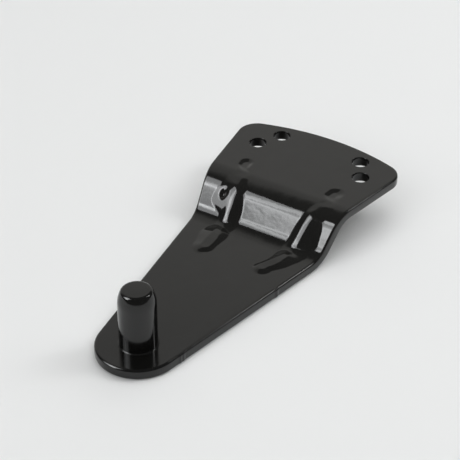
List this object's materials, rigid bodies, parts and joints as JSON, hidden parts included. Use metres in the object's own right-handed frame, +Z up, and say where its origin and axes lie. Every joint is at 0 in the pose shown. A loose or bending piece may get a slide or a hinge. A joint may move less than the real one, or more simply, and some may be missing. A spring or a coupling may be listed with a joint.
{
  "type": "refrigerator door hinge",
  "caption": "Flat pressed-steel door hinge plate with a stepped bend, stiffening ribs, screw holes at the wide end and an upright riveted pin at the narrow end.",
  "frame": {"origin": "on the pin's axis, at the top face of the lower flat", "axes": "+Z up along the pin, +Y back along the plate towards the screw holes, +X across to the right"},
  "size_m": [0.0516, 0.1088, 0.0198],
  "materials": {
    "black_coat": "gloss black coat over steel"
  },
  "bodies": {
    "root": {"hinge_plate": "black_coat", "hinge_pin": "black_coat"}
  },
  "joints": []
}
